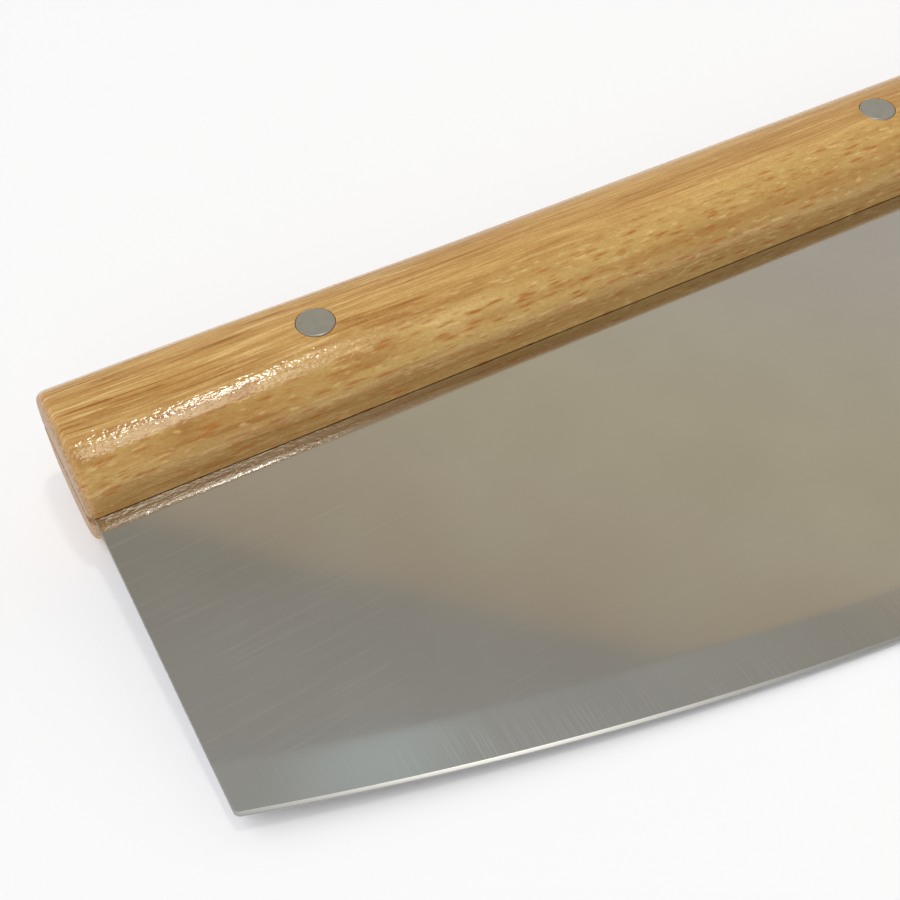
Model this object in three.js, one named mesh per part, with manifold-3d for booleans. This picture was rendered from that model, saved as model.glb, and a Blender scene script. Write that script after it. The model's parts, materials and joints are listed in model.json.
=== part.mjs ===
// Rocker pizza cutter: a broad stainless blade with an arched cutting edge, held
// along its straight back between two oval wooden scales by three two-piece
// cutlery rivets. Millimetres, +Z up.
//
// The pieces are drawn in the blade's frame: x runs along the handle, y from the
// cutting edge towards the handle, and z out of the blade's front face. Its origin
// is in the middle of the blade's thickness and length, at the height of the
// handle's lower edge. The finished cutter is then laid on its back.

import * as THREE from 'three';
import { mergeVertices } from 'three/addons/utils/BufferGeometryUtils.js';
import Module from 'manifold-3d';

// Blade
const bladeLength = 355;
const bladeThickness = 1.5;
const bladeDropAtEnds = 62.6; // from the handle's lower edge to the cutting edge
const edgeSagitta = 27.4; // how far the middle of the arched edge lies below its ends
const grindWidth = 9; // the ground flank along the cutting edge, on each face
const honeWidth = 1; // the steeper honed facet below it
const honeHalfAngle = 14; // degrees
const edgeThickness = 0.3; // what is left at the cutting edge
const tangRecess = 0.2; // from the handle's top down to the tang's top edge
const faceMargin = 1; // from the handle's lower edge down to the free flat of the blade

// Handle scales
const handleHeight = 28.3;
const scaleThickness = 11.9; // from the blade's face to the crown of the oval
const scaleFullness = 2.2; // exponent of the oval: 2 is an ellipse, more is squarer
const handleOverhang = 0.9; // wood past each end of the blade
const endRounding = 1.8; // radius round the end of the handle
const seatGap = 0.3; // between a scale and the blade

// Rivets
const rivetInset = 49.3; // from the blade's end to the outer rivets
const headDiameter = 7.3;
const headThickness = 1.3;
const headRecess = 0.12; // from the crown of the oval down to the head's flat face
const rimRounding = 0.25; // radius round the rim of a head
const pinDiameter = 3;
const tubeDiameter = 4.8;
const rivetClearance = 0.3; // round a head, a tube or a pin, and under a head
const tipGap = 1; // from the tip of a pin or tube to the other half's head

// Fineness of the faceted surfaces
const edgeSteps = 48;
const ovalSteps = 36;
const roundingSteps = 4;
const halfBays = 4; // straight bays of a scale, on each side of its middle
const rivetSides = 24;

const bladeDropAtMiddle = bladeDropAtEnds + edgeSagitta;
const handleLength = bladeLength + 2 * handleOverhang;
const crown = bladeThickness / 2 + scaleThickness;
const headFace = crown - headRecess;
const headSeat = headFace - headThickness;
const tubeBore = pinDiameter + 2 * rivetClearance;
const rivetHole = tubeDiameter + 2 * rivetClearance;
const rivetPlaces = {
  left: rivetInset - bladeLength / 2,
  middle: 0,
  right: bladeLength / 2 - rivetInset,
};

const wasm = await Module();
wasm.setup();

// A closed body through a row of like sections along +x. Each section is a convex
// ring of points, counter-clockwise seen from +x, and the two ends are capped.
function loft(sections) {
  const ringSize = sections[0].length;
  const lastRing = (sections.length - 1) * ringSize;
  const index = [];
  for (let start = 0; start < lastRing; start += ringSize) {
    for (let i = 0; i < ringSize; i += 1) {
      const a = start + i;
      const b = start + ((i + 1) % ringSize);
      index.push(a, b, b + ringSize);
      index.push(a, b + ringSize, a + ringSize);
    }
  }
  for (let i = 1; i < ringSize - 1; i += 1) {
    index.push(0, i + 1, i);
    index.push(lastRing, lastRing + i, lastRing + i + 1);
  }
  const geometry = new THREE.BufferGeometry().setFromPoints(sections.flat());
  geometry.setIndex(index);
  return geometry;
}

// A geometry as a solid that can be cut
function toSolid(geometry) {
  const bare = geometry.clone();
  bare.deleteAttribute('normal');
  bare.deleteAttribute('uv');
  const merged = mergeVertices(bare);
  const vertProperties = new Float32Array(merged.attributes.position.array);
  const triVerts = new Uint32Array(merged.index.array);
  return new wasm.Manifold(new wasm.Mesh({ numProp: 3, vertProperties, triVerts }));
}

// A cut solid as a geometry
function toGeometry(solid) {
  const mesh = solid.getMesh();
  const geometry = new THREE.BufferGeometry();
  geometry.setAttribute('position', new THREE.BufferAttribute(mesh.vertProperties, 3));
  geometry.setIndex(new THREE.BufferAttribute(mesh.triVerts, 1));
  geometry.computeVertexNormals();
  return geometry;
}

// A round drill along z, centred on (x, y), from one height to another
function drill(diameter, x, y, from, to) {
  const radius = diameter / 2;
  const cylinder = new THREE.CylinderGeometry(radius, radius, to - from, rivetSides);
  cylinder.rotateX(Math.PI / 2);
  cylinder.translate(x, y, (from + to) / 2);
  return toSolid(cylinder);
}

// The blade: a plate whose lower side is an arc, ground thinner along that arc and
// honed at the edge itself, with the rivet holes through its tang.
function bladeGeometry() {
  const edgeRadius = ((bladeLength / 2) ** 2 + edgeSagitta ** 2) / (2 * edgeSagitta);
  const half = bladeThickness / 2;
  const edgeHalf = edgeThickness / 2;
  const honeHalf = edgeHalf + honeWidth * Math.tan(THREE.MathUtils.degToRad(honeHalfAngle));
  const tangTop = handleHeight - tangRecess;
  const sections = [];
  for (let i = 0; i <= edgeSteps; i += 1) {
    const x = bladeLength * (i / edgeSteps - 0.5);
    const edge = edgeRadius - Math.sqrt(edgeRadius ** 2 - x ** 2) - bladeDropAtMiddle;
    const rear = [
      [edge, edgeHalf],
      [edge + honeWidth, honeHalf],
      [edge + grindWidth, half],
      [-faceMargin, half],
      [tangTop, half],
    ];
    const front = rear.toReversed();
    sections.push([
      ...rear.map(([y, z]) => new THREE.Vector3(x, y, -z)),
      ...front.map(([y, z]) => new THREE.Vector3(x, y, z)),
    ]);
  }
  let solid = toSolid(loft(sections));
  for (const x of Object.values(rivetPlaces)) {
    solid = solid.subtract(drill(rivetHole, x, handleHeight / 2, -bladeThickness, bladeThickness));
  }
  return toGeometry(solid);
}

// Half of the oval at one place along a scale, drawn in all round by an inset:
// |y / a|^n + (z / b)^n = 1 above the seat, where y and z run from the centre of
// the handle and of the blade's face.
function scaleSection(x, inset) {
  const a = handleHeight / 2 - inset;
  const b = scaleThickness - inset;
  const firstAngle = Math.asin((seatGap / b) ** (scaleFullness / 2));
  const points = [];
  for (let i = 0; i <= ovalSteps; i += 1) {
    const angle = THREE.MathUtils.lerp(firstAngle, Math.PI - firstAngle, i / ovalSteps);
    const cosine = Math.cos(angle);
    const y = a * Math.sign(cosine) * Math.abs(cosine) ** (2 / scaleFullness);
    const z = b * Math.sin(angle) ** (2 / scaleFullness);
    points.push(new THREE.Vector3(x, y, bladeThickness / 2 + z));
  }
  return points;
}

// A scale: a straight half oval, rounded over at both ends, with a stepped hole
// for each rivet. Its y runs from the centre of the handle.
function scaleGeometry() {
  const straightHalf = handleLength / 2 - endRounding;
  const rightHalf = [];
  for (let i = 1; i <= halfBays; i += 1) {
    rightHalf.push([straightHalf * (i / halfBays), 0]);
  }
  for (let i = 1; i <= roundingSteps; i += 1) {
    const angle = (Math.PI / 2) * (i / roundingSteps);
    const inset = endRounding * (1 - Math.cos(angle));
    rightHalf.push([straightHalf + endRounding * Math.sin(angle), inset]);
  }
  const leftHalf = rightHalf.map(([x, inset]) => [-x, inset]).reverse();
  const places = [...leftHalf, [0, 0], ...rightHalf];
  const sections = places.map(([x, inset]) => scaleSection(x, inset));
  let solid = toSolid(loft(sections));
  const headHole = headDiameter + 2 * rivetClearance;
  for (const x of Object.values(rivetPlaces)) {
    solid = solid.subtract(drill(rivetHole, x, 0, 0, crown));
    solid = solid.subtract(drill(headHole, x, 0, headSeat - rivetClearance, 2 * crown));
  }
  return toGeometry(solid);
}

// A turned rivet half: what stands below its head, then the head with its rounded
// rim, as [radius, height] pairs from axis to axis
function rivetGeometry(shank) {
  const headRadius = headDiameter / 2;
  const profile = [...shank, [headRadius, headSeat]];
  for (let i = 0; i <= roundingSteps; i += 1) {
    const angle = (Math.PI / 2) * (i / roundingSteps);
    const radius = headRadius - rimRounding * (1 - Math.cos(angle));
    profile.push([radius, headFace - rimRounding * (1 - Math.sin(angle))]);
  }
  profile.push([0, headFace]);
  const points = profile.map(([radius, height]) => new THREE.Vector2(radius, height));
  return new THREE.LatheGeometry(points, rivetSides).rotateX(Math.PI / 2);
}

const tipHeight = tipGap - headSeat;
const pinRadius = pinDiameter / 2;
const tubeRadius = tubeDiameter / 2;
const boreRadius = tubeBore / 2;
const pinGeometry = rivetGeometry([
  [0, tipHeight],
  [pinRadius, tipHeight],
  [pinRadius, headSeat],
]);
const socketGeometry = rivetGeometry([
  [0, headSeat],
  [boreRadius, headSeat],
  [boreRadius, tipHeight],
  [tubeRadius, tipHeight],
  [tubeRadius, headSeat],
]);

const bladeSteel = new THREE.MeshStandardMaterial({ color: 0x968d7f, roughness: 0.2, metalness: 1 });
const varnishedWood = new THREE.MeshStandardMaterial({ color: 0xbe965c, roughness: 0.3, metalness: 0 });
const rivetMetal = new THREE.MeshStandardMaterial({ color: 0x8c8a82, roughness: 0.35, metalness: 1 });

// A named piece, turned over onto the rear side where asked
function piece(name, geometry, material, turnedOver = false) {
  const mesh = new THREE.Mesh(geometry, material);
  mesh.name = name;
  mesh.rotation.x = turnedOver ? Math.PI : 0;
  return mesh;
}

const handle = new THREE.Group();
handle.position.y = handleHeight / 2;
const scale = scaleGeometry();
handle.add(piece('front_scale', scale, varnishedWood));
handle.add(piece('rear_scale', scale, varnishedWood, true));
for (const [place, x] of Object.entries(rivetPlaces)) {
  const rivet = new THREE.Group();
  rivet.position.x = x;
  rivet.add(piece(`rivet_pin_${place}`, pinGeometry, rivetMetal));
  rivet.add(piece(`rivet_socket_${place}`, socketGeometry, rivetMetal, true));
  handle.add(rivet);
}

const cutter = new THREE.Group();
cutter.add(piece('blade', bladeGeometry(), bladeSteel));
cutter.add(handle);

// Lying on its back, the cutter rests on the middle of its cutting edge and on
// the rear of its handle: the steepest line from that edge to any point of the
// scale or of a rivet head gives the tilt of the blade.
function restAngle() {
  const rearPoints = [scale, socketGeometry].flatMap((geometry) => {
    const { array } = geometry.attributes.position;
    return Array.from({ length: array.length / 3 }, (_, i) => array.subarray(3 * i, 3 * i + 3));
  });
  const slopes = rearPoints.map(([, y, z]) => {
    const reach = handle.position.y - y + bladeDropAtMiddle;
    return (z - edgeThickness / 2) / reach;
  });
  return Math.atan(Math.max(...slopes));
}

cutter.rotation.x = restAngle();
cutter.updateMatrixWorld(true);
const laid = new THREE.Box3().setFromObject(cutter, true);
const middle = laid.getCenter(new THREE.Vector3());
cutter.position.set(-middle.x, -middle.y, -laid.min.z);
cutter.updateMatrixWorld(true);

export default cutter;
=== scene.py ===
"""A rocker pizza cutter lying on its back: a broad polished blade with an arched edge between two
varnished wooden scales, held by three two-piece rivets. Metres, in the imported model's frame."""

import json
from math import acos, asin, atan2, cos, pi, radians, sin, tan

import bpy
import numpy as np
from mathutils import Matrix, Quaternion, Vector


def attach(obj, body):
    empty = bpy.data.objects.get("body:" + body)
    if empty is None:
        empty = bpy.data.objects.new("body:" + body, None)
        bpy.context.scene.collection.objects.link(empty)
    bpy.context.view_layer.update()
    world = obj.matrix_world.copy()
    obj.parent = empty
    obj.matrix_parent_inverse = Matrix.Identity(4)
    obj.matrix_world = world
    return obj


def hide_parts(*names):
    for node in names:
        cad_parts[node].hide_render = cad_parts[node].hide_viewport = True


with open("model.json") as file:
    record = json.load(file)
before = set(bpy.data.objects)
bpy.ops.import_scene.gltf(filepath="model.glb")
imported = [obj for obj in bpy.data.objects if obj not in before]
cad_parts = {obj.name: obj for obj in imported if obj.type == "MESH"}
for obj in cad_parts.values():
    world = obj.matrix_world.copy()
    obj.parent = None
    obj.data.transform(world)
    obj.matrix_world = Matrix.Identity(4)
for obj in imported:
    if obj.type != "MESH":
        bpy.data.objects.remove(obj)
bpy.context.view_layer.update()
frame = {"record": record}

# The viewpoint
# The cutter is seen from the lower left, close enough that its right half runs out of the picture.
mm = 0.001
viewpoint = Vector((-191.4, -156.9, 182.6)) * mm
aim = Vector((-116.9, 14.7, 10.1)) * mm
camera_roll = radians(-6.4)
camera_data = bpy.data.cameras.new("viewpoint")
camera_data.sensor_width = 36
camera_data.lens = 57.4
camera_data.clip_start = 1 * mm
camera = bpy.data.objects.new("viewpoint", camera_data)
camera.location = viewpoint
camera.rotation_mode = "QUATERNION"
level_turn = (aim - viewpoint).to_track_quat("-Z", "Y")
camera.rotation_quaternion = level_turn @ Quaternion((0, 0, 1), camera_roll)
bpy.context.scene.collection.objects.link(camera)
bpy.context.scene.camera = camera

# The blade
# One stainless plate, ground thinner along its arched edge and honed there, with a full tang up to
# the top of the handle. It is polished with the grinding lines still faintly showing: along the
# blade on its flats, and across the edge on the ground flank.
blade_length = 355 * mm
blade_half = blade_length / 2
blade_thickness = 1.5 * mm
drop_at_ends = 62.6 * mm
edge_sagitta = 27.4 * mm
grind_width = 9 * mm
hone_width = 0.7 * mm
hone_half_angle = radians(14)
edge_thickness = 0.3 * mm
edge_rounding = edge_thickness / 2 * cos(hone_half_angle) / (1 - sin(hone_half_angle))
shoulder_softness = 0.02 * mm
worn_softness = 0.12 * mm
worn_from = 120 * mm
worn_to = 170 * mm
corner_rounding = 0.8 * mm
end_easing = 0.15 * mm
handle_height = 28.3 * mm
tang_recess = 0.2 * mm
rivet_inset = 49.3 * mm
rivet_places = {"left": rivet_inset - blade_half, "middle": 0.0, "right": blade_half - rivet_inset}
shank_hole = 5.4 * mm
window_half = 5.6 * mm
window_cells = 16
mount_drop = 30 * mm
edge_radius = (blade_half ** 2 + edge_sagitta ** 2) / (2 * edge_sagitta)
drop_at_middle = drop_at_ends + edge_sagitta

# The blade's own axes: along the handle, up the blade, and out of its front face, from the middle
# of the blade at the handle's lower edge. The mount on its front face gives the slope it lies at.
front_mount = next(m for m in frame["record"]["mounts"] if m["name"] == "blade_front")
along = np.array((1.0, 0.0, 0.0))
outward = np.array(front_mount["axis"], float)
upward = np.cross(outward, along)
origin = np.array(front_mount["pos_m"]) + mount_drop * upward - blade_thickness / 2 * outward
lying_angle = atan2(upward[2], upward[1])


def lay(x, y, z):
    """Points given along, up and out of the blade, as points of the frame: origin + x along
    + y up + z out."""
    x, y, z = np.broadcast_arrays(x, y, z)
    return origin + x[..., None] * along + y[..., None] * upward + z[..., None] * outward


def cells(index):
    """The four corners of every cell of a grid of vertex numbers, as rows that keep the grid's
    winding."""
    corners = (index[:-1, :-1], index[1:, :-1], index[1:, 1:], index[:-1, 1:])
    return np.stack(corners, axis=-1).reshape(-1, 4)


def edge_loop(block):
    """The values round the edge of a block of a grid: along its first side, and on round to the
    start again."""
    return np.concatenate([block[0, :-1], block[:-1, -1], block[-1, :0:-1], block[:0:-1, 0]])


def close_loop(rows):
    """Rows of vertex numbers with their first column again at the end, so that they close."""
    return np.concatenate([rows, rows[:, :1]], axis=1)


def stations_past_rivets(end):
    """Places along the handle, out to an end on both sides: even steps across a square window
    round each rivet, and steps about twice as long between the windows."""
    steps = np.linspace(-window_half, window_half, window_cells + 1)
    windows = [place + steps for place in rivet_places.values()]
    breaks = [-end, *[line for window in windows for line in (window[0], window[-1])], end]
    long_step = 4 * window_half / window_cells
    bays = [
        np.linspace(start, stop, 1 + round((stop - start) / long_step))
        for start, stop in zip(breaks[::2], breaks[1::2])
    ]
    return np.unique(np.concatenate([*bays, *windows]).round(9))


def make_piece(name, node, points, faces, material, sharp_angle=radians(30)):
    """A mesh from points and lists of corner numbers, smooth but for its sharp edges, in a node's
    place. A corner that a face lists twice is kept once."""
    mesh = bpy.data.meshes.new(name)
    corners = [list(dict.fromkeys(face)) for face in faces]
    mesh.from_pydata(points.reshape(-1, 3).tolist(), [], corners)
    mesh.validate()
    mesh.shade_smooth()
    mesh.set_sharp_from_angle(angle=sharp_angle)
    mesh.materials.append(material)
    piece = bpy.data.objects.new(name, mesh)
    bpy.context.scene.collection.objects.link(piece)
    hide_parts(node)
    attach(piece, "root")
    return piece


def smooth_rise(x, start, end):
    """0 before start and 1 after end, as 3 t^2 - 2 t^3 between them."""
    t = np.clip((x - start) / (end - start), 0, 1)
    return t ** 2 * (3 - 2 * t)


def half_thickness(x, rise):
    """Half the blade's thickness at a height above its cutting edge: a round edge that runs into
    the honed slope, then the lower of the ground slope and the flat, eased into each other as a
    smooth minimum. The shoulder between them is softer towards the blade's ends."""
    worn = smooth_rise(np.abs(x), worn_from, worn_to)
    softness = shoulder_softness + (worn_softness - shoulder_softness) * worn
    honed = edge_thickness / 2 + np.minimum(rise, hone_width) * tan(hone_half_angle)
    from_centre = np.clip(edge_rounding - rise, 0, edge_rounding)
    rounded = np.sqrt(edge_rounding ** 2 - from_centre ** 2)
    honed = np.where(rise < edge_rounding * (1 - sin(hone_half_angle)), rounded, honed)
    flat = blade_thickness / 2
    hone_top = edge_thickness / 2 + hone_width * tan(hone_half_angle)
    ground = hone_top + (rise - hone_width) * (flat - hone_top) / (grind_width - hone_width)
    eased = (ground + flat - np.sqrt((ground - flat) ** 2 + softness ** 2)) / 2
    ease_at_hone = (hone_top + flat - np.sqrt((hone_top - flat) ** 2 + softness ** 2)) / 2
    return np.where(rise <= hone_width, honed, eased - ease_at_hone + hone_top)


def blade_mesh():
    """Rings round the blade at stations along it: up the rear side from the edge and down the front
    side again. The edge's height is edge_radius - sqrt(edge_radius^2 - x^2) - drop_at_middle, and a
    quarter circle rounds it off at the corners. The faces are eased over at the ends by a quarter
    circle too. A square window round each rivet is filled by a tunnel: from the window's edge to a
    round hole, and through it to the other side."""
    corner_start = blade_half - corner_rounding
    corner = corner_start + corner_rounding * np.sin(np.linspace(0, pi / 2, 17))[1:]
    x = np.concatenate([-corner[::-1], stations_past_rivets(corner_start), corner])[:, None]
    into_corner = np.clip((np.abs(x) - corner_start) / corner_rounding, 0, 1)
    into_end = np.clip((np.abs(x) - blade_half) / end_easing + 1, 0, 1)
    inset = end_easing * (1 - np.sqrt(1 - into_end ** 2))
    edge = edge_radius - np.sqrt(edge_radius ** 2 - x ** 2) - drop_at_middle
    edge = edge + corner_rounding * (1 - np.sqrt(1 - into_corner ** 2))
    tang_top = handle_height - tang_recess
    round_rise = edge_rounding * (1 - np.cos(np.linspace(0, pi / 2 - hone_half_angle, 11)))
    ground_rise = np.linspace(hone_width, 2 * grind_width, 33)
    low_y = edge + np.concatenate([round_rise, ground_rise])
    rivet_y = handle_height / 2
    window_y = rivet_y + np.linspace(-window_half, window_half, window_cells + 1)
    flat_y = low_y[:, -1:] + np.linspace(0, 1, 7)[1:-1] * (window_y[0] - low_y[:, -1:])
    high_y = np.broadcast_to(np.append(window_y, tang_top), (len(x), window_cells + 2))
    y = np.concatenate([low_y, flat_y, high_y], axis=1)
    half = np.maximum(half_thickness(x, y - edge) - inset, edge_thickness / 4)
    rear = lay(x, y, -half)
    front = lay(x, y[:, ::-1], half[:, ::-1])
    skin = np.concatenate([rear, front], axis=1)
    stations, ring = skin.shape[:2]
    index = np.arange(stations * ring).reshape(stations, ring)
    points = [skin.reshape(-1, 3)]
    count = stations * ring
    keep = np.ones((stations - 1, ring), bool)
    tunnels = []
    rear_rows = low_y.shape[1] + flat_y.shape[1] + np.arange(window_cells + 1)
    front_rows = ring - 1 - rear_rows
    for place in rivet_places.values():
        columns = np.argmin(np.abs(x - place + window_half)) + np.arange(window_cells + 1)
        keep[np.ix_(columns[:-1], rear_rows[:-1])] = False
        keep[np.ix_(columns[:-1], front_rows[1:])] = False
        window_grid = np.meshgrid(x[columns, 0] - place, window_y - rivet_y, indexing="ij")
        angle = np.arctan2(edge_loop(window_grid[1]), edge_loop(window_grid[0]))
        hole_x = place + shank_hole / 2 * np.cos(angle)
        hole_y = rivet_y + shank_hole / 2 * np.sin(angle)
        level = half[columns[0], rear_rows[0]]
        points += [lay(hole_x, hole_y, -level), lay(hole_x, hole_y, level)]
        hole = count + np.arange(2 * len(angle)).reshape(2, -1)
        count += 2 * len(angle)
        rear_loop = edge_loop(index[np.ix_(columns, rear_rows)])
        front_loop = edge_loop(index[np.ix_(columns, front_rows)])
        tunnels.append(cells(close_loop(np.stack([rear_loop, *hole, front_loop]))))
    rows = ring // 2
    first = np.stack([index[0, :rows], index[0, :rows - 1:-1]], axis=1)
    last = np.stack([index[-1, :rows - 1:-1], index[-1, :rows]], axis=1)
    sides = cells(close_loop(index))[keep.reshape(-1)]
    faces = np.concatenate([sides, *tunnels, cells(first), cells(last)])
    return np.concatenate(points), faces[:, ::-1].tolist()


class Signal:
    """A shader socket that takes part in arithmetic: an operator adds a Math node, and add() any
    other node."""

    def __init__(self, socket):
        self.socket = socket

    def add(self, kind, settings=None, inputs=None, output=0):
        """A new node of a kind in this signal's tree. Its settings are set first, then the values
        or links of its sockets by name or number. A ramp's stops are (place, colour) pairs. Gives
        one of its outputs."""
        tree = self.socket.id_data
        node = tree.nodes.new(kind)
        for name, value in (settings or {}).items():
            if name == "stops":
                ramp = node.color_ramp
                while len(ramp.elements) < len(value):
                    ramp.elements.new(0.5)
                for element, (place, colour) in zip(ramp.elements, value):
                    element.position = place
                    element.color = (*colour, 1)
            else:
                setattr(node, name, value)
        for key, value in (inputs or {}).items():
            if isinstance(value, Signal):
                tree.links.new(value.socket, node.inputs[key])
            else:
                node.inputs[key].default_value = value
        return Signal(node.outputs[output])

    def math(self, operation, *values):
        return self.add("ShaderNodeMath", {"operation": operation}, dict(enumerate(values)))

    def __add__(self, other):
        return self.math("ADD", self, other)

    def __sub__(self, other):
        return self.math("SUBTRACT", self, other)

    def __rsub__(self, other):
        return self.math("SUBTRACT", other, self)

    def __mul__(self, other):
        return self.math("MULTIPLY", self, other)

    __radd__ = __add__
    __rmul__ = __mul__

    def size(self):
        """This value without its sign."""
        return self.math("ABSOLUTE", self)

    def step(self, start, end):
        """0 before start and 1 after end, with a smooth rise between."""
        settings = {"interpolation_type": "SMOOTHSTEP"}
        inputs = {"Value": self, "From Min": start, "From Max": end}
        return self.add("ShaderNodeMapRange", settings, inputs)

    def between(self, low, high):
        """A value that goes from low to high with this signal."""
        return low + (high - low) * self

    def tint(self, low, high, blend="MIX"):
        """A colour that goes from low to high with this signal."""
        settings = {"data_type": "RGBA", "blend_type": blend}
        return self.add("ShaderNodeMix", settings, {0: self, 6: low, 7: high}, output=2)

    def parts(self):
        """The three parts of this vector."""
        split = self.add("ShaderNodeSeparateXYZ", None, {0: self}).socket.node
        return [Signal(part) for part in split.outputs]

    def vector(self, operation, point, output=0):
        """This vector and a constant one in a Vector Math node."""
        inputs = {0: self, 1: point}
        return self.add("ShaderNodeVectorMath", {"operation": operation}, inputs, output)

    def stretch(self, *factors):
        return self.vector("MULTIPLY", factors)

    def distance(self, point):
        return self.vector("DISTANCE", point, output=1)

    def noise(self, detail=2.0, roughness=0.5):
        """Noise on this vector, from 0 to 1, with cells about one unit across."""
        inputs = {"Vector": self, "Scale": 1.0, "Detail": detail, "Roughness": roughness}
        return self.add("ShaderNodeTexNoise", None, inputs)

    def bump(self):
        """A normal from this height in millimetres."""
        return self.add("ShaderNodeBump", None, {"Strength": 1.0, "Distance": mm, "Height": self})


def rgb(red, green, blue):
    """A colour given as 0 to 255 screen values, in linear light."""
    screen = np.array((red, green, blue)) / 255
    linear = np.where(screen <= 0.04045, screen / 12.92, ((screen + 0.055) / 1.055) ** 2.4)
    return (*linear.tolist(), 1.0)


def start_material(name):
    """A new material's shader and its blade coordinates in millimetres: along, up and out of the
    blade."""
    material = bpy.data.materials.new(name)
    material.use_nodes = True
    shader = material.node_tree.nodes["Principled BSDF"]
    coordinates = material.node_tree.nodes.new("ShaderNodeTexCoord")
    from_origin = Signal(coordinates.outputs["Object"]).vector("SUBTRACT", origin)
    inputs = {0: from_origin, 2: (-lying_angle, 0, 0), 3: (1 / mm,) * 3}
    turned = from_origin.add("ShaderNodeMapping", {"vector_type": "POINT"}, inputs)
    return material, shader, turned


def feed(shader, **signals):
    """Links signals to a shader's sockets, named with an underscore for each space."""
    for name, signal in signals.items():
        shader.id_data.links.new(signal.socket, shader.inputs[name.replace("_", " ")])


steel_dim = rgb(203, 200, 195)
steel_bright = rgb(211, 209, 205)
# The white of the painted glints on the hairlines and ticks.
scratch_glint_white = rgb(236, 236, 234)
honed_grey = rgb(186, 185, 183)
sheared_grey = rgb(150, 146, 140)
polished_roughness = 0.055
ground_roughness = 0.09
honed_roughness = 0.3
sheared_roughness = 0.5
hairline_slope = 0.07
plate_waviness = 0.15
blade_sharp_angle = radians(9)


def polished_steel():
    """Mirror-polished flats with faint lines along the blade, a ground flank with finer lines
    across the edge, a duller honed strip and dull sheared ends. Rise is the height over the cutting
    edge, the edge's radius less the distance from its centre. Lengths are in millimetres."""
    material, shader, place = start_material("polished_steel")
    x, y, _ = place.parts()

    # The strips of the blade, each a mask from 0 to 1.
    centre = (0, (edge_radius - drop_at_middle) / mm, 0)
    rise = edge_radius / mm - place.stretch(1, 1, 0).distance(centre)
    ground = 1 - rise.step(grind_width / mm - 0.5, grind_width / mm + 0.5)
    honed = 1 - rise.step(hone_width / mm - 0.1, hone_width / mm + 0.1)
    sheared = x.size().step((blade_half - end_easing) / mm - 0.05, blade_half / mm)

    # Grinding lines along the flats and across the edge, and slow changes of the polish.
    brush = place.stretch(0.015, 3.5, 0).noise(detail=4, roughness=0.7)
    brushed_area = place.stretch(0.02, 0.02, 0).noise(detail=1).step(0.4, 0.7)
    across = place.stretch(2.4, 0.04, 0).noise(detail=3, roughness=0.6)
    cloud = place.stretch(0.04, 0.04, 0).noise(detail=3)
    sway = place.stretch(0.012, 0.02, 0).noise(detail=1)

    # Thin hairlines, where a slanted noise crosses its middle, mostly near the ends of the blade.
    slant_inputs = {0: x, 1: y - x * hairline_slope, 2: 0.0}
    slanted = place.add("ShaderNodeCombineXYZ", None, slant_inputs)
    line = slanted.stretch(0.012, 2.6, 0).noise(detail=2, roughness=0.6)
    thin = 1 - (line - 0.5).size().step(0.003, 0.02)
    broken = slanted.stretch(0.035, 0.8, 0).noise(detail=1).step(0.5, 0.66)
    far_end = x.size().step(105, 150)
    hairline = thin * broken * far_end.between(0.15, 1.0) * (1 - ground)

    # Short ticks along the grinding lines, just over the hone, that only lighten the colour: painted
    # glints.
    glint_tick_area = place.stretch(0.07, 0.02, 0).noise(detail=1).step(0.42, 0.62)
    glint_tick = across.step(0.45, 0.65) * glint_tick_area * (1 - rise.step(2.5, 8)) * (1 - honed)

    polished = polished_roughness + cloud * 0.025 + brush * brushed_area * 0.05 + hairline * 0.08
    flank = ground.between(polished, ground_roughness + across * 0.06)
    rough = sheared.between(honed.between(flank, honed_roughness), sheared_roughness)
    tone = cloud * 0.6 + brush * 0.2 + across * ground * 0.2
    clean = tone.step(0.25, 0.65).tint(steel_dim, steel_bright)
    # Hairlines and ticks are painted whiter than the steel: a painted glint, on hairlines that are
    # also real scratches with a rougher polish.
    scratched_and_glinting = (hairline * 0.24 + glint_tick * 0.3).tint(clean, scratch_glint_white)
    colour = sheared.tint(honed.tint(scratched_and_glinting, honed_grey), sheared_grey)
    height = brush * brushed_area * 0.005 + across * ground * 0.004 + sway * plate_waviness
    feed(shader, Base_Color=colour, Roughness=rough, Normal=height.bump())
    shader.inputs["Metallic"].default_value = 1
    return material


steel = polished_steel()
blade_points, blade_faces = blade_mesh()
make_piece(
    "polished_blade", "blade", blade_points, blade_faces, steel, blade_sharp_angle
)

# The handle scales
# Two like half ovals of light honey-coloured hardwood, grain along the handle, seated on both sides
# of the tang. They are sanded to shape, eased over at the ends and brushed with a glossy varnish
# that dries a little uneven.
solid_thickness = 11.9 * mm
inside_solid = 0.02 * mm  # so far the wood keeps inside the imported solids
scale_thickness = solid_thickness - inside_solid
scale_fullness = 2.2
added_fullness = 0.5
fuller_from = 90 * mm
fuller_to = 165 * mm
thinned_end = 0.17 * mm
narrowed_end = 0.12 * mm
handle_half = handle_height / 2 - inside_solid
handle_overhang = 0.9 * mm
end_rounding = 1.8 * mm
handle_end = blade_half + handle_overhang
seat_gap = 0.14 * mm
head_diameter = 7.3 * mm
head_thickness = 1.3 * mm
head_recess = 0.12 * mm
head_hole = head_diameter + 0.14 * mm
head_play = 0.05 * mm
lip_width = 0.1 * mm
lip_chamfer = 0.03 * mm
head_face = blade_thickness / 2 + solid_thickness - head_recess
head_seat = head_face - head_thickness
crease_share = 0.67
paring_end = 0.942
paring_depth = 0.16 * mm
land_from = 0.954


def toward_end(x):
    """A smooth rise from 0 along most of the handle to 1 near its ends."""
    return smooth_rise(np.abs(x), fuller_from, fuller_to)


def half_height(x, y, inset):
    """Half the handle's height, a little less over the fuller ends of its back."""
    return handle_half - narrowed_end * toward_end(x) * (y > 0) - inset


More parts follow.
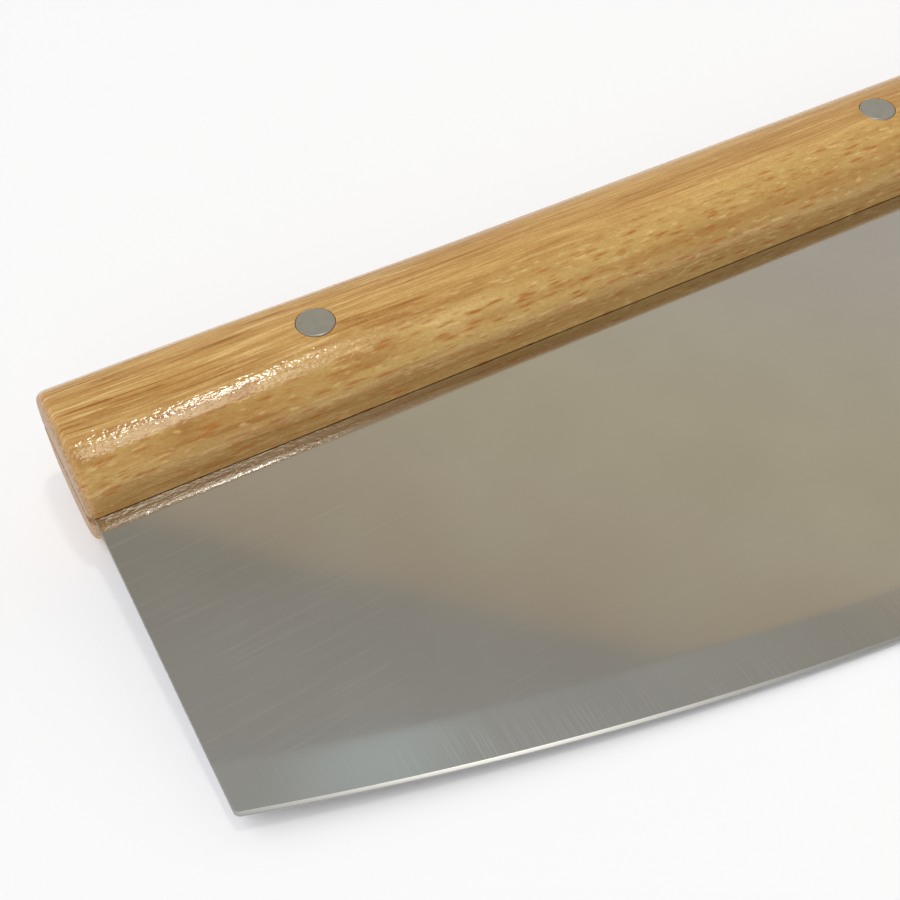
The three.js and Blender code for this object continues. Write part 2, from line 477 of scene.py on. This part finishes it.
def oval_height(x, y, inset):
    """Height of the section over the blade's face: an oval, thickness times
    (1 - |y / half|^n)^(1 / n), that is pared a little along each flank. On the handle's back the
    power n grows towards the ends, which are fuller there. The paring starts at a crease and runs
    out below it as u (1 - u)^2, where u goes from 0 at the crease to 1 at the paring's end, and is
    deepest, at 4 / 27 of that scale, a third of the way. Below it a flat land runs straight to the
    seat."""
    fullness = scale_fullness + added_fullness * toward_end(x) * (y > 0)
    thickness = scale_thickness - thinned_end * toward_end(x) - inset
    share = np.abs(y / half_height(x, y, inset))
    oval = thickness * np.maximum(1 - share ** fullness, 0) ** (1 / fullness)
    u = np.clip((share - crease_share) / (paring_end - crease_share), 0, 1)
    pared = oval - paring_depth * 27 / 4 * u * (1 - u) ** 2
    land_top = thickness * (1 - land_from ** fullness) ** (1 / fullness)
    down_land = np.clip((share - land_from) / (1 - land_from), 0, 1)
    return np.where(share > land_from, land_top + (seat_gap - land_top) * down_land, pared)


def scale_mesh(side):
    """Rings round a scale at stations along it, over the oval and back across its flat seat, the
    seat's points under the oval's. Square windows round the rivets are filled by rings that run
    from the window's border to the round hole, down its two steps and out to the same border on the
    seat. The rear scale is turned end for end."""
    straight = handle_end - end_rounding
    straight_x = stations_past_rivets(straight)
    turn = np.linspace(0, pi / 2, 8)[1:]
    end_x = straight + end_rounding * np.sin(turn)
    x = np.concatenate([-end_x[::-1], straight_x, end_x])
    end_inset = end_rounding * (1 - np.cos(turn))
    inset = np.concatenate([end_inset[::-1], np.zeros(len(straight_x)), end_inset])[:, None]
    edge_angle = asin((seat_gap / scale_thickness) ** (scale_fullness / 2))
    crease_angle = acos(crease_share ** (scale_fullness / 2))
    window_angle = acos((window_half / handle_half) ** (scale_fullness / 2))
    land_angle = acos(land_from ** (scale_fullness / 2))
    land_rows = np.linspace(edge_angle, land_angle, 9)
    pared_rows = np.linspace(land_angle, crease_angle, 20)
    upper_rows = np.linspace(crease_angle, window_angle, 12)
    flank_angle = np.concatenate([land_rows, pared_rows[1:], upper_rows[1:]])
    flank = np.cos(flank_angle) ** (2 / scale_fullness)
    window_y = np.linspace(window_half, -window_half, window_cells + 1) / handle_half
    share = np.concatenate([flank[:-1], window_y, -flank[-2::-1]])
    x = np.broadcast_to(x[:, None], (len(x), len(share)))
    y = share * half_height(x, share, inset)
    z = np.maximum(oval_height(x, y, inset), seat_gap)
    z[:, [0, -1]] = seat_gap
    stations, rows = y.shape
    grid = np.stack([x, y, blade_thickness / 2 + z], axis=-1).reshape(-1, 3)
    seat_level = blade_thickness / 2 + seat_gap
    seat = np.stack([x, y, np.full_like(y, seat_level)], axis=-1)[:, 1:-1].reshape(-1, 3)
    top = np.arange(stations * rows).reshape(stations, rows)
    under = top.copy()
    under[:, 1:-1] = len(grid) + np.arange(len(seat)).reshape(stations, rows - 2)
    points = [grid, seat]
    count = len(grid) + len(seat)
    keep = np.ones((stations - 1, rows - 1), bool)
    faces = []
    first_row = len(flank) - 1
    hole_rings = (
        (0.3, head_hole / 2 + lip_width, None),
        (0.6, head_hole / 2 + lip_width, None),
        (0.85, head_hole / 2 + lip_width, None),
        (1.0, head_hole / 2 + lip_width, None),
        (1.0, head_hole / 2 + lip_chamfer, -lip_chamfer),
        (1.0, head_hole / 2, -lip_width),
        (1.0, head_hole / 2, head_seat - head_play),
        (1.0, shank_hole / 2, head_seat - head_play),
        (1.0, shank_hole / 2, seat_level),
        (0.5, shank_hole / 2, seat_level),
    )
    for place in rivet_places.values():
        first = int(np.argmin(np.abs(x[:, 0] - place + window_half)))
        keep[first:first + window_cells, first_row:first_row + window_cells] = False
        patch_columns = slice(first, first + window_cells + 1)
        patch_rows = slice(first_row, first_row + window_cells + 1)
        top_border = edge_loop(top[patch_columns, patch_rows])
        under_border = edge_loop(under[patch_columns, patch_rows])
        border = grid[top_border]
        angle = np.arctan2(border[:, 1], border[:, 0] - place)
        rings = []
        for inward, radius, level in hole_rings:
            ring_x = border[:, 0] * (1 - inward) + (place + radius * np.cos(angle)) * inward
            ring_y = border[:, 1] * (1 - inward) + radius * np.sin(angle) * inward
            surface = blade_thickness / 2 + oval_height(ring_x, ring_y, 0)
            if level is None:
                ring_z = surface
            elif level < 0:
                ring_z = surface + level
            else:
                ring_z = np.full_like(surface, level)
            rings.append(np.stack([ring_x, ring_y, ring_z], axis=-1))
        ring_index = count + np.arange(len(rings) * len(border)).reshape(len(rings), -1)
        faces.append(cells(close_loop(np.stack([top_border, *ring_index, under_border]))))
        points.extend(rings)
        count += len(rings) * len(border)
    kept = keep.reshape(-1)
    faces += [cells(top)[kept], cells(under)[kept][:, ::-1]]
    faces.append(cells(np.stack([under[0], top[0]])))
    faces.append(cells(np.stack([top[-1], under[-1]])))
    x, y, z = np.concatenate(points).T
    placed = lay(side * x, handle_height / 2 + y, side * z)
    return placed, np.concatenate(faces)[:, ::-1].tolist()


flatwise_dark = rgb(188, 148, 85)
flatwise_light = rgb(203, 168, 102)
edgewise_dark = rgb(187, 141, 78)
edgewise_light = rgb(209, 169, 103)
streak_brown = rgb(166, 114, 56)
streak_cream = rgb(224, 190, 130)
spot_cream = rgb(232, 200, 138)
# The brown of the painted shade below the crease and along the seat.
shade_brown = rgb(160, 104, 50)
pore_brown = rgb(178, 116, 54)
flatwise_veil = rgb(241, 235, 224)
edgewise_veil = rgb(224, 213, 196)
no_veil = rgb(255, 255, 255)
end_grain_dark = rgb(152, 116, 78)
end_grain_light = rgb(190, 156, 114)
varnish_roughness = 0.08
end_grain_roughness = 0.45
long_pores = (0.17, 0.95, 0.18)
short_pores = (0.3, 1.5, 0.26)


def varnished_wood():
    """Straight fine grain where the growth layers are cut edgewise, on the upper flank, and short
    brown pores where they are cut flatwise, lower down, under an uneven glossy varnish. Lengths are
    in millimetres."""
    material, shader, place = start_material("varnished_wood")
    x, y, z = place.parts()

    # Growth layers that slope through the handle, with bands, streaks and threads along them.
    drift = place.stretch(0.010, 0.03, 0.03).noise(detail=2)
    layer = z * 0.8 - y * 0.6 + drift * 3
    layers = place.add("ShaderNodeCombineXYZ", None, {0: x, 1: layer, 2: y * 0.1})
    band = layers.stretch(0.012, 0.35, 1).noise(detail=2)
    streak = layers.stretch(0.04, 1.9, 1).noise(detail=3, roughness=0.6)
    thread = layers.stretch(0.08, 4.5, 1).noise(detail=2)
    ray = place.stretch(2.5, 0.5, 0.5).noise(detail=2)
    edgewise = (y - x * 0.03).step(8, 15)
    far_end = x.size().step(60, 150)
    vivid = far_end.between(0.5, 1.45) * y.step(18, 24).between(1.0, 0.5)

    # Pores: ragged cells of a Voronoi pattern drawn out along the grain, some of them left out.
    ragged_edge = (place.stretch(0.6, 2.5, 2.5).noise(detail=2) - 0.5) * 0.2
    pores = []
    for lengthwise, crosswise, left_out in (long_pores, short_pores):
        pore_place = place.stretch(lengthwise, crosswise, crosswise)
        pore_inputs = {"Vector": pore_place, "Scale": 1.0}
        pore = pore_place.add("ShaderNodeTexVoronoi", None, pore_inputs)
        chance, _, _ = Signal(pore.socket.node.outputs["Color"]).parts()
        inside = 1 - (pore + ragged_edge).step(0.05, 0.46)
        pores.append(inside * chance.step(left_out, left_out + 0.3))
    fleck = (pores[0] + pores[1] * 0.7) * (1 - edgewise * 0.85)

    # Colours laid over one another: bands, streaks, pale spots, painted shade in a band below the
    # crease and along the seat, pores.
    flatwise_honey = band.step(0.3, 0.7).tint(flatwise_dark, flatwise_light)
    edgewise_honey = band.step(0.3, 0.7).tint(edgewise_dark, edgewise_light)
    honey = edgewise.tint(flatwise_honey, edgewise_honey)
    dark_streak = (1 - streak.step(0.32, 0.47)) * edgewise.between(0.5, 0.9) * vivid
    light_streak = streak.step(0.53, 0.68) * edgewise.between(0.5, 0.9) * vivid
    lined = light_streak.tint(dark_streak.tint(honey, streak_brown), streak_cream)
    spot = place.stretch(0.35, 1.3, 1.3).noise(detail=1).step(0.55, 0.75) * (1 - edgewise * 0.7)
    spotted = (spot * 0.55).tint(lined, spot_cream)
    # Painted shade: brown laid in a band just below the crease, weaker towards the ends, and along
    # the seat, stronger towards the ends.
    crease_shade = y.step(2.5, 3.0) * (1 - y.step(3.6, 4.2)) * (1 - far_end * 0.6)
    seat_shade = (1 - y.step(0.75, 1.15)) * far_end.between(0.1, 0.3)
    shaded = (crease_shade * 0.3 + seat_shade).tint(spotted, shade_brown)
    flecked = (fleck * 0.95).tint(shaded, pore_brown)

    # A veil of fine grain that darkens them, and end grain across the ends.
    shimmer = place.stretch(1.6, 3.0, 3.0).noise(detail=2, roughness=0.6)
    fine_grain = thread * edgewise.between(0.35, 0.7) + shimmer * edgewise.between(0.65, 0.3)
    veil = fine_grain.step(0.34, 0.66).tint(edgewise.tint(flatwise_veil, edgewise_veil), no_veil)
    veil_settings = {"data_type": "RGBA", "blend_type": "MULTIPLY"}
    veil_inputs = {0: 1.0, 6: flecked, 7: veil}
    side_grain = veil.add("ShaderNodeMix", veil_settings, veil_inputs, output=2)
    tubes = place.stretch(0.3, 2.4, 2.4).noise(detail=3, roughness=0.6)
    end_grain = tubes.step(0.35, 0.65).tint(end_grain_dark, end_grain_light)
    end = x.size().step(handle_end / mm - 1.2, handle_end / mm - 0.2)
    colour = end.tint(side_grain, end_grain)

    # The varnish: small waves all over, thicker ones gathered at the ends and in a run by the seat.
    peel = place.stretch(0.8, 1.6, 1.6).noise(detail=1)
    speckle = place.stretch(1.6, 3.2, 3.2).noise(detail=2)
    gathered = x.size().step(164, 171) * place.stretch(0.9, 0.9, 0.9).noise(detail=1)
    by_seat = y.step(0.25, 0.5) * (1 - y.step(0.9, 2.0))
    run = by_seat * place.stretch(0.9, 1.7, 1.7).noise(detail=1)
    ripple = peel * 0.05 + speckle * 0.012 + gathered * 0.12 + run * 0.08
    height = ripple + thread * 0.006 + ray * 0.004 - fleck * 0.01
    varnished = varnish_roughness + speckle.step(0.42, 0.62) * 0.05
    rough = end.between(varnished, end_grain_roughness)
    feed(shader, Base_Color=colour, Roughness=rough, Normal=height.bump())
    return material


wood = varnished_wood()
varnished_pieces = bpy.data.collections.new("varnished_pieces")
for name, side in (("front", 1), ("rear", -1)):
    scale_points, scale_faces = scale_mesh(side)
    node = f"{name}_scale"
    scale = make_piece(
        f"{name}_wooden_scale", node, scale_points, scale_faces, wood
    )
    varnished_pieces.objects.link(scale)

# The rivets
# Three cutlery rivets of soft light metal, each a solid pin pressed into a tubular socket from the
# other side. Their flat heads are set in the wood and sanded flush, so they are satin grey with a
# fine dark line round them.
rim_rounding = 0.25 * mm
pin_radius = 1.5 * mm
tube_radius = 2.4 * mm
bore_radius = 1.8 * mm
tip_gap = 1 * mm
tip_height = tip_gap - head_seat
rivet_dim = rgb(181, 180, 175)
rivet_bright = rgb(193, 192, 187)
rivet_roughness = 0.24


def rivet_mesh(shank, place, side):
    """A turned profile carried round the rivet's axis, from the shank's inner end to the head's
    face, and closed by a fan round the axis at both ends. A socket is turned half round."""
    turn = np.linspace(0, pi / 2, 7)
    rim_radius = head_diameter / 2 - rim_rounding * (1 - np.cos(turn))
    rim_height = head_face - rim_rounding * (1 - np.sin(turn))
    face_radius = np.array((0.9, 0.6, 0.3)) * rim_radius[-1]
    face_height = np.full(len(face_radius), head_face)
    shank_radius, shank_height = np.array(shank).T
    radius = np.concatenate([shank_radius, [head_diameter / 2], rim_radius, face_radius])
    height = np.concatenate([shank_height, [head_seat], rim_height, face_height])
    angle = np.linspace(0, 2 * pi, 64, endpoint=False)
    x = place + radius[:, None] * np.cos(angle)
    y = radius[:, None] * np.sin(angle)
    turned = lay(x, handle_height / 2 + side * y, side * height[:, None]).reshape(-1, 3)
    poles = lay(np.full(2, place), handle_height / 2, side * height[[0, -1]])
    rings = close_loop(np.arange(len(turned)).reshape(len(radius), -1))
    first_pole = np.full(len(angle), len(turned))
    first_fan = np.stack([first_pole, rings[0, 1:], rings[0, :-1]], axis=1)
    last_fan = np.stack([first_pole + 1, rings[-1, :-1], rings[-1, 1:]], axis=1)
    faces = cells(rings)[:, ::-1].tolist() + first_fan.tolist() + last_fan.tolist()
    return np.concatenate([turned, poles]), faces


def satin_metal():
    """Soft grey metal, a little cloudy, with fine sanding scratches along the handle."""
    material, shader, place = start_material("satin_metal")
    scratch = place.stretch(0.6, 6.0, 0.6).noise(detail=4, roughness=0.65)
    cloud = place.stretch(0.4, 0.4, 0.4).noise(detail=2)
    colour = (cloud * 0.6 + scratch * 0.4).step(0.3, 0.7).tint(rivet_dim, rivet_bright)
    rough = rivet_roughness + scratch * 0.12
    feed(shader, Base_Color=colour, Roughness=rough, Normal=(scratch * 0.004).bump())
    shader.inputs["Metallic"].default_value = 1
    return material


rivet_metal = satin_metal()
pin_shank = [(pin_radius, tip_height), (pin_radius, head_seat)]
socket_shank = [
    (bore_radius, head_seat),
    (bore_radius, tip_height),
    (tube_radius, tip_height),
    (tube_radius, head_seat),
]
for name, place in rivet_places.items():
    for kind, shank, side in (("pin", pin_shank, 1), ("socket", socket_shank, -1)):
        rivet_points, rivet_faces = rivet_mesh(shank, place, side)
        node = f"rivet_{kind}_{name}"
        make_piece(f"satin_{node}", node, rivet_points, rivet_faces, rivet_metal)

# The floor and the light
# A plain pale floor under a soft grey dome with a warm wall at the back right, a pale panel and a
# faint fill in front, a faint skylight overhead, and a window on the left that is dimmer in mirrors.
# One lamp hangs overhead, and a soft one shines on the two wooden scales alone.
floor_half = 3.0
floor_corners = floor_half * np.array([(-1, -1, 0), (1, -1, 0), (1, 1, 0), (-1, 1, 0)])
floor_mesh = bpy.data.meshes.new("floor")
floor_mesh.from_pydata(floor_corners.tolist(), [], [(0, 1, 2, 3)])
floor_material = bpy.data.materials.new("pale_floor")
floor_material.use_nodes = True
floor_shader = floor_material.node_tree.nodes["Principled BSDF"]
floor_shader.inputs["Base Color"].default_value = rgb(250, 250, 250)
floor_shader.inputs["Roughness"].default_value = 0.9
floor_shader.inputs["Specular IOR Level"].default_value = 0.1
floor_mesh.materials.append(floor_material)
floor = bpy.data.objects.new("floor", floor_mesh)
bpy.context.scene.collection.objects.link(floor)

# The dome's light in every direction: grey by height, and a warm wall past a slanting edge.
grey_stops = [
    (0, (0.6, 0.6, 0.6)),
    (0.06, (0.45, 0.45, 0.45)),
    (0.3, (0.4, 0.4, 0.4)),
    (0.7, (0.34, 0.33, 0.3)),
    (0.855, (0.335, 0.323, 0.284)),
    (0.88, (0.38, 0.37, 0.336)),
    (0.93, (0.4, 0.397, 0.385)),
    (1, (0.42, 0.435, 0.42)),
]
wall_stops = [
    (0, (0.474, 0.407, 0.318)),
    (0.1, (0.545, 0.49, 0.38)),
    (0.17, (0.57, 0.523, 0.395)),
    (0.21, (0.575, 0.537, 0.425)),
    (0.28, (0.58, 0.55, 0.495)),
    (0.6, (0.5, 0.49, 0.46)),
    (1, (0.6, 0.6, 0.6)),
]
wall_facing = (0.605, 0.638, -0.473)
window_light = (1.42, 1.45, 1.58, 1)
window_dimming = 0.75
skylight_from = (0.14, 0.255, 0.955)
skylight_light = (0.1, 0.16, 0.17, 1)
fill_light = (0.12, 0.12, 0.12, 1)
panel_light = (0.95, 0.95, 0.9, 1)
panel_blur = 0.08
panel_left_blur = 0.05

world = bpy.data.worlds.new("soft_dome")
bpy.context.scene.world = world
world.use_nodes = True
background = world.node_tree.nodes["Background"]
direction = Signal(world.node_tree.nodes.new("ShaderNodeTexCoord").outputs["Generated"])
mirrored = Signal(world.node_tree.nodes.new("ShaderNodeLightPath").outputs["Is Glossy Ray"])
side_x, side_y, height = direction.parts()
grey = height.add("ShaderNodeValToRGB", {"stops": grey_stops}, {0: height})
past_edge = direction.vector("DOT_PRODUCT", wall_facing, output=1)
wall = past_edge.add("ShaderNodeValToRGB", {"stops": wall_stops}, {0: past_edge})
room = past_edge.step(-0.006, 0.01).tint(grey, wall)
window_side = (0 - side_x - height * 0.1).step(-0.1, 0.25) * height.step(0.2, 0.6)
window = window_side * (1 - mirrored * window_dimming)
windowed = window.tint(room, window_light, "ADD")
skylight = 1 - direction.distance(skylight_from).step(0.02, 0.09)
skylit = skylight.tint(windowed, skylight_light, "ADD")
front_fill = (0 - side_y).step(0.3, 0.8) * (1 - height.step(0.15, 0.5))
filled = front_fill.tint(skylit, fill_light, "ADD")
panel_front = (side_y + height * 0.75).step(-panel_blur, panel_blur)
panel_rear = 1 - (side_y + height * 0.12).step(-panel_blur, panel_blur)
panel_left = (side_x - height * 0.02).step(-panel_left_blur, panel_left_blur)
panel_right = 1 - (side_x - height * 0.3).step(-panel_blur, panel_blur)
panel = panel_front * panel_rear * panel_left * panel_right
dome = panel.tint(filled, panel_light, "ADD")
world.node_tree.links.new(dome.socket, background.inputs["Color"])


def hang_lamp(name, shape, width, depth, power, colour, place):
    """A flat lamp that shines straight down from a place."""
    lamp_data = bpy.data.lights.new(name, "AREA")
    lamp_data.shape = shape
    lamp_data.size = width
    lamp_data.size_y = depth
    lamp_data.energy = power
    lamp_data.color = colour
    lamp = bpy.data.objects.new(name, lamp_data)
    lamp.location = place
    bpy.context.scene.collection.objects.link(lamp)
    return lamp


overhead_place = (0.118, -0.13, 1.7)
hang_lamp("overhead_lamp", "RECTANGLE", 0.13, 0.09, 2.8, (1.0, 0.98, 0.9), overhead_place)
softbox_place = (-0.0075, -0.51, 1.52)
softbox = hang_lamp(
    "handle_softbox", "ELLIPSE", 0.5, 0.46, 2.2, (1.0, 0.99, 0.92), softbox_place
)
softbox.light_linking.receiver_collection = varnished_pieces

bpy.context.scene.view_settings.view_transform = "Standard"
